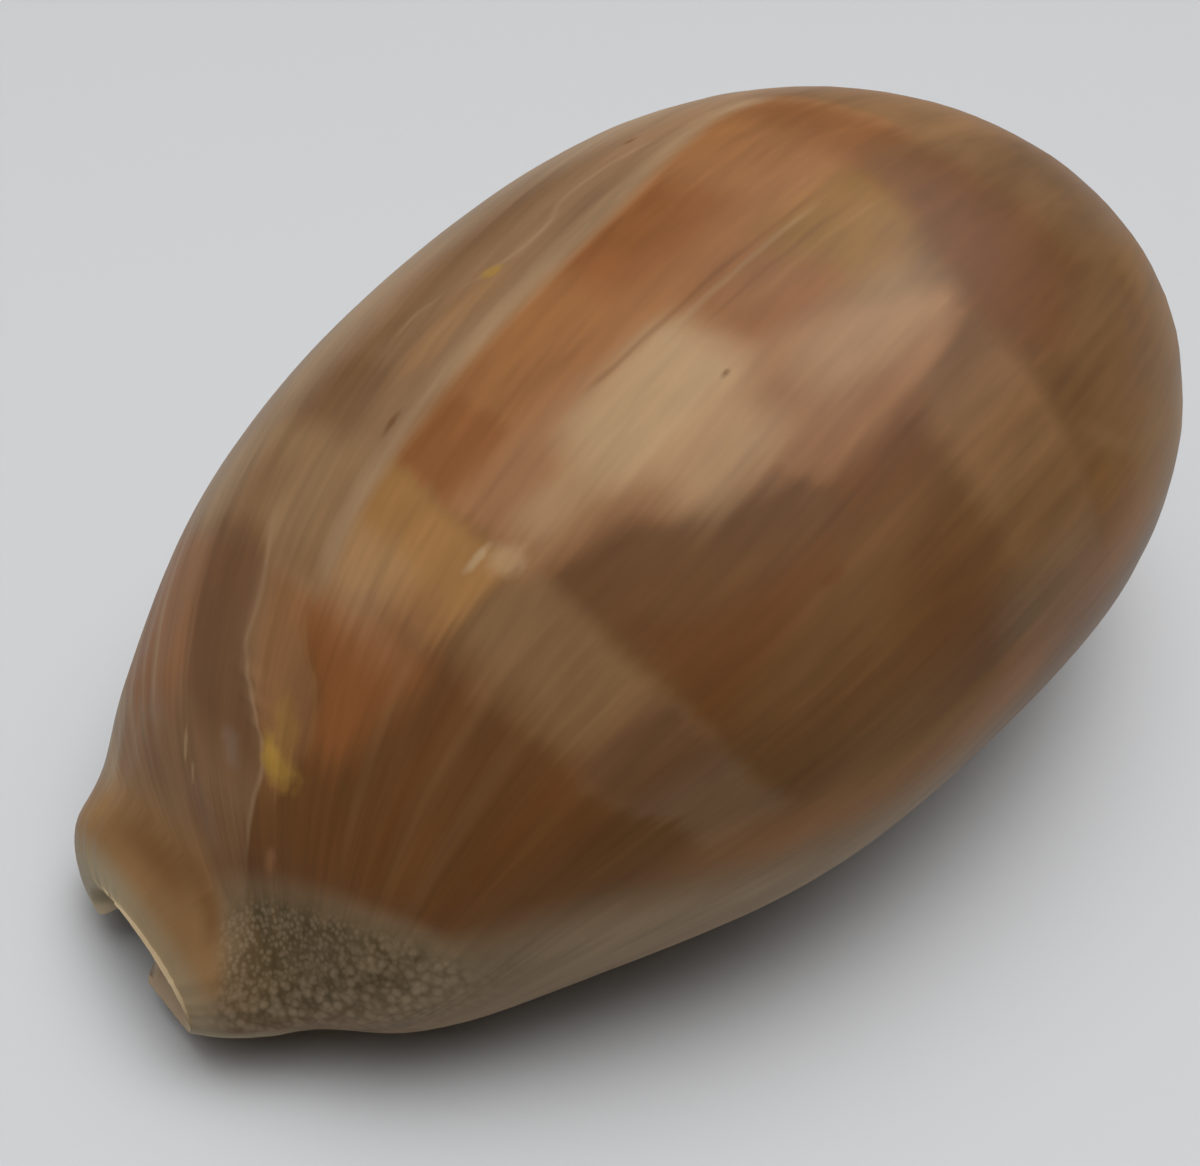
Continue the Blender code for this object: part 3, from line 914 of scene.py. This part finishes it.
class Coat:
    """The shell's paint, laid mark by mark in the shell's own coordinates."""

    def __init__(self, graph, colours):
        self.graph = graph
        self.colours = colours
        self.paint = Paint(graph, colours.umber)
        self.share, self.turn, self.tooth, self.depth = (
            self.stored(name) for name in ("along", "turn", "tooth", "depth")
        )
        self.place = graph.value("ShaderNodeTexCoord", output="Object")
        # Growth lines run lengthwise over the crown and swing round to the rim at the front end.
        swing = self.share.most(SWING_FOOT) ** SWING_POWER * SWING_REACH
        self.flow = self.turn + swing - SWING_ZERO
        self.hair, self.fine, self.strand, self.cloud, self.wisp, self.sway = (
            self.grain(length, width, seed) for seed, (length, width) in enumerate(GRAINS, 1)
        )
        self.u = self.stirred(self.share, ALONG_STIR)
        self.v = self.stirred(self.turn, TURN_STIR)
        self.grit = self.noise(self.place, 700.0, 2.0)
        self.ragged = self.grit.scaled(1.2, -0.6)
        self.waved = self.turn + self.fine - 0.5
        self.swayed = self.flow + self.strand.scaled(2.0, -1.0)
        self.edges = {}

    def stored(self, name):
        return self.graph.value("ShaderNodeAttribute", {"attribute_name": name}, output="Fac")

    def noise(self, vector, scale, detail):
        inputs = {"Vector": vector, "Scale": scale, "Detail": detail}
        return self.graph.value("ShaderNodeTexNoise", None, inputs)

    def grain(self, length, width, seed):
        """Noise, 0 to 1, drawn out along the growth lines, of such a length and width."""
        inputs = {0: self.share / length, 1: self.flow / width, 2: seed}
        return self.noise(self.graph.value("ShaderNodeCombineXYZ", None, inputs), 1.0, 1.0)

    def stirred(self, value, grains):
        """A value that grains move to and fro, each by a reach of its own."""
        for name, reach in grains:
            value = value + (getattr(self, name) - 0.5) * reach
        return value

    def lay(self, colour, amount):
        self.paint.lay(getattr(self.colours, colour), amount)

    def area(self, colour, amount, start, end, fade, top, foot, soft):
        """A soft-edged area between two edges across the shell and two lines along it."""
        cover = self.past(self.u, self.v, start, fade, 0.0, amount)
        cover = self.past(self.u, self.v, end, fade, 1.0, 0.0) * cover
        cover = self.past(self.v, self.share, foot, soft, 0.0, 1.0) * cover
        cover = self.past(self.v, self.share, top, soft, 1.0, 0.0) * cover
        self.lay(colour, cover)

    def past(self, reading, place, edge, soft, before, after):
        """Goes from one value to another as a reading passes an edge: a number or a path."""
        if isinstance(edge, tuple):
            reading, edge = reading - self.edge(place, edge), 0.0
        return reading.rise(edge - soft, edge + soft, before, after)

    def edge(self, place, path):
        """A path read at a place on the shell, once for all the marks that use it."""
        key = (place.socket.node.name, path)
        if key not in self.edges:
            self.edges[key] = place.follow(path)
        return self.edges[key]

    def trail(self, colour, amount, flow, width, start, end):
        """A stroke along a growth line."""
        near = self.swayed.bump(flow, width)
        self.lay(colour, near * self.within(start, end, 0.02) * amount)

    def within(self, start, end, fade):
        return self.share.rise(start - fade, start + fade) * self.share.fall(end - fade, end + fade)

    def line(self, colour, amount, path, width, start, end):
        """A stroke along a line of its own."""
        near = (self.waved - self.edge(self.share, path)).bump(0.0, width)
        self.lay(colour, near * self.within(start, end, 0.015) * amount)

    def fleck(self, colour, amount, at, size, lean):
        """A soft round or drawn-out spot with a ragged edge."""
        length, width = size[0] / 2.0, size[1] / 2.0
        down = self.share.scaled(1.0 / length, -at[0] / length)
        side = self.turn.scaled(1.0 / width, -at[1] / width)
        side = down.scaled(-lean * length / width, side)
        away = side.scaled(side, down * down).root() + self.ragged
        self.lay(colour, away.rise(0.3, 1.5, amount, 0.0))

    def specks(self, under, over):
        """Cream grains on olive brown, coarser low down, each by an amount of its own."""
        self.lay("ground", under * (self.grit * 0.8 + 0.5))
        low = (-self.turn).rise(40.0, 75.0)
        for scale, share in ((1150.0, low), (2100.0, 0.6 - low * 0.3)):
            inputs = {"Vector": self.place, "Scale": scale}
            away = self.graph.value("ShaderNodeTexVoronoi", {"feature": "F1"}, inputs, "Distance")
            grains = away.fall(0.16, 0.74)
            self.lay("speck", grains * share * over.rise(0.02, 0.6) * 0.65)


def paint_shell(coat):
    """All the marks, from the ground colour up."""
    for mark in BANDS:
        coat.area(*mark)
    for colour, amount, top, foot, soft in PALE_BAND:
        coat.area(colour, amount, BAND_A_FRONT, BAND_A_REAR, 0.008, top, foot, soft)
    for mark in FRONT + PATCH + OUTER_SIDE + SCAR_SIDE:
        coat.area(*mark)
    for mark in TRAILS:
        coat.trail(*mark)
    for mark in LINES:
        coat.line(*mark)
    for mark in FLECKS:
        coat.fleck(*mark)
    paint_margins(coat)


def paint_margins(coat):
    """The beige margins, the specks of the front and the smooth tan rim, whose pale edge is partly a
    painted highlight.
    """
    share, turn, v = coat.share, coat.turn, coat.v
    inward = share.follow(SPECK_EDGE) - v
    near = inward.bump(-5.0, 11.0)
    coat.lay("dusk", near * share.fall(0.18, 0.28) * 0.35)
    coat.lay("rose", near * share.rise(0.22, 0.3) * share.fall(0.6, 0.75) * 0.5)
    margin = inward.rise(-8.0, 10.0)
    coat.lay("margin", margin * share.rise(0.03, 0.13, 0.4, 1.0) * share.rise(0.36, 0.55, 0.9, 0.35))
    coat.lay("margin", turn.rise(63.0, 82.0) * 0.8)
    inside = turn.follow(CALLUS_EDGE) - share
    nearby = inside.fall(-0.03, 0.0) * 0.5 + 0.5
    speckled = nearby * share.fall(0.085, 0.23) * turn.rise(-100.0, -62.0, 0.3, 1.0)
    coat.specks(speckled * inward.rise(-8.0, 14.0), speckled * inward.rise(0.0, 20.0))
    upper = turn.rise(-22.0, 0.0)
    coat.lay("callus", inside.rise(-0.008, 0.008) * (1.0 - upper) * 0.95)
    coat.lay("callus", inside.rise(-0.024, 0.012) * upper * 0.95)
    coat.lay("umber", inside.bump(0.017, 0.029) * turn.bump(4.0, 50.0) * 0.95)
    coat.lay("umber", inside.bump(0.005, 0.012) * turn.bump(-20.0, 26.0) * 0.8)
    # Pale rim edge, laid more strongly on the upper side: partly its own pale colour, partly a painted
    # highlight for the sheen along the rounded edge.
    coat.lay("rim_and_sheen", share.fall(0.001, 0.022) * turn.rise(-20.0, 20.0, 0.65, 0.9))
    coat.lay("rim_and_sheen", share.fall(0.03, 0.06) * abs(turn).rise(86.0, 100.0) * 0.8)


def shell_finish(colours):
    """The polished shell: brown and pale bands under fine growth lines, specks and a tan rim, with
    painted highlights on the rim's edge and under the front end.
    """
    material = bpy.data.materials.new("polished shell")
    material.use_nodes = True
    graph = Graph(material.node_tree)
    coat = Coat(graph, colours)
    paint_shell(coat)

    streaks = coat.stirred(0.0, STREAKS)
    coat.paint.shade(1.0 + streaks * coat.share.rise(0.02, 0.08, 0.2, 1.0))

    under = abs(coat.turn).rise(108.0, 128.0)
    coat.lay("base", under * 0.9)
    toothed = coat.tooth.rise(0.15, 0.6) * coat.depth.fall(0.6, 1.0) * coat.share.rise(0.05, 0.09)
    coat.lay("teeth", toothed * 0.8)
    coat.lay("lining", coat.depth.rise(0.7, 1.0))
    # Lightens the paint under the front end, where the hook sits in shade: a painted highlight for the
    # light that the floor throws up onto it.
    coat.paint.shade(1.0 + coat.share.fall(0.0, 0.04) * abs(coat.turn).rise(95.0, 115.0) * 0.6)

    bump = graph.value(
        "ShaderNodeBump",
        None,
        {"Strength": 0.08, "Distance": 0.25 * MM, "Height": coat.hair * 0.35 + coat.fine * 0.65},
    )
    shader = graph.value(
        "ShaderNodeBsdfPrincipled",
        None,
        {
            "Base Color": coat.paint.colour,
            "Roughness": 0.42 + (coat.cloud - 0.5) * 0.1,
            "IOR": 1.5,
            "Specular IOR Level": 0.14,
            "Normal": bump,
        },
    )
    graph.node("ShaderNodeOutputMaterial", None, {"Surface": shader})
    return material


def plain_finish(name, colour, roughness):
    material = bpy.data.materials.new(name)
    material.use_nodes = True
    shader = material.node_tree.nodes["Principled BSDF"]
    shader.inputs["Base Color"].default_value = (*colour, 1.0)
    shader.inputs["Roughness"].default_value = roughness
    return material


# ---------------------------------------------------------------- operators


class SHELL_OT_make(bpy.types.Operator):
    """Make the cowrie shell, with its toothed slit and its markings"""

    bl_idname = "shell.make"
    bl_label = "Make shell"

    def execute(self, context):
        sizes = context.scene.shell_sizes
        finish = shell_finish(context.scene.shell_colours)
        shell = bpy.data.objects.new("shell_body", shell_body(sizes))
        context.scene.collection.objects.link(shell)
        inputs = {name: getattr(sizes, name.lower().replace(" ", "_")) for name in RELIEF_SIZES}
        work_in(shell, relief_tree(), {**inputs, "Material": finish})
        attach(shell, "root")
        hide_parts(NODE)
        return {"FINISHED"}


class SHELL_OT_stage(bpy.types.Operator):
    """Lay the floor, hang the lights and place the camera"""

    bl_idname = "shell.stage"
    bl_label = "Make stage"

    def execute(self, context):
        stage = context.scene.shell_stage
        make_floor(context, stage)
        make_sky(context, stage)
        make_light(context, stage)
        make_camera(context, stage)
        return {"FINISHED"}


def make_floor(context, stage):
    half = stage.floor_size / 2.0
    corners = [(-half, -half, 0.0), (half, -half, 0.0), (half, half, 0.0), (-half, half, 0.0)]
    mesh = bpy.data.meshes.new("floor")
    mesh.from_pydata(corners, [], [(0, 1, 2, 3)])
    mesh.materials.append(plain_finish("floor paper", stage.floor_colour, 0.7))
    floor = bpy.data.objects.new("floor", mesh)
    context.scene.collection.objects.link(floor)
    floor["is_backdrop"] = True


def make_sky(context, stage):
    """A world that is brightest round one direction and dark elsewhere."""
    world = bpy.data.worlds.new("studio")
    context.scene.world = world
    world.use_nodes = True
    graph = Graph(world.node_tree)
    ways = {0: graph.value("ShaderNodeTexCoord", output="Generated"), 1: tuple(stage.sky_way)}
    facing = graph.value("ShaderNodeVectorMath", {"operation": "DOT_PRODUCT"}, ways, "Value")
    glow = facing.most(0.0) ** SKY_FOCUS
    backdrop = graph.value(
        "ShaderNodeBackground", None, {"Color": SKY_COLOUR, "Strength": stage.sky_strength * glow}
    )
    graph.node("ShaderNodeOutputWorld", None, {"Surface": backdrop})


def make_light(context, stage):
    """A large soft lamp that hangs at its place and shines on the shell."""
    lamp = bpy.data.lights.new("main light", "AREA")
    lamp.shape = "DISK"
    lamp.size = stage.key_size
    lamp.energy = stage.key_power
    holder = bpy.data.objects.new("main light", lamp)
    place = Vector(stage.key_place)
    way = (place - Vector(LIT_POINT)).to_track_quat("Z", "Y")
    holder.matrix_world = Matrix.Translation(place) @ way.to_matrix().to_4x4()
    context.scene.collection.objects.link(holder)


def make_camera(context, stage):
    context.scene.view_settings.view_transform = "Standard"
    azimuth, elevation, roll = stage.azimuth, stage.elevation, stage.roll
    level = Vector((math.cos(azimuth), math.sin(azimuth), 0.0))
    behind = Vector((math.sin(azimuth), -math.cos(azimuth), 0.0))
    back = behind * math.cos(elevation) + Vector((0.0, 0.0, math.sin(elevation)))
    upward = back.cross(level)
    right = level * math.cos(roll) + upward * math.sin(roll)
    up = upward * math.cos(roll) - level * math.sin(roll)
    camera = bpy.data.cameras.new("camera")
    camera.sensor_width = 36.0
    camera.lens = camera.sensor_width / 2.0 / math.tan(stage.field_of_view / 2.0)
    camera.clip_start = 0.005
    camera.clip_end = 20.0
    holder = bpy.data.objects.new("camera", camera)
    turn = Matrix((right, up, back)).transposed().to_4x4()
    holder.matrix_world = Matrix.Translation(Vector(stage.target) + back * stage.distance) @ turn
    context.scene.collection.objects.link(holder)
    context.scene.camera = holder


class SHELL_PT_panel(bpy.types.Panel):
    """Sizes, colours and stage of the shell"""

    bl_idname = "SHELL_PT_panel"
    bl_label = "Cowrie shell"
    bl_space_type = "VIEW_3D"
    bl_region_type = "UI"
    bl_category = "Shell"

    def draw(self, context):
        for button, group in (("shell.make", "sizes"), (None, "colours"), ("shell.stage", "stage")):
            box = self.layout.box()
            settings = getattr(context.scene, f"shell_{group}")
            for name in settings.__annotations__:
                box.prop(settings, name)
            if button:
                box.operator(button)


CLASSES = (ShellSettings, ColourSettings, StageSettings, SHELL_OT_make, SHELL_OT_stage, SHELL_PT_panel)


def register():
    for made in CLASSES:
        bpy.utils.register_class(made)
    bpy.types.Scene.shell_sizes = bpy.props.PointerProperty(type=ShellSettings)
    bpy.types.Scene.shell_colours = bpy.props.PointerProperty(type=ColourSettings)
    bpy.types.Scene.shell_stage = bpy.props.PointerProperty(type=StageSettings)


def unregister():
    del bpy.types.Scene.shell_stage
    del bpy.types.Scene.shell_colours
    del bpy.types.Scene.shell_sizes
    for made in reversed(CLASSES):
        bpy.utils.unregister_class(made)


def write_sizes():
    """Works out the CAD box and the finished shell's box, in metres."""
    low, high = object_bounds()
    sizes = {"cad": [list(CAD_LOW), list(CAD_HIGH)], "visual": [list(low), list(high)]}


def main():
    register()
    bpy.ops.shell.make()
    bpy.ops.shell.stage()
    write_sizes()


if __name__ == "__main__":
    main()
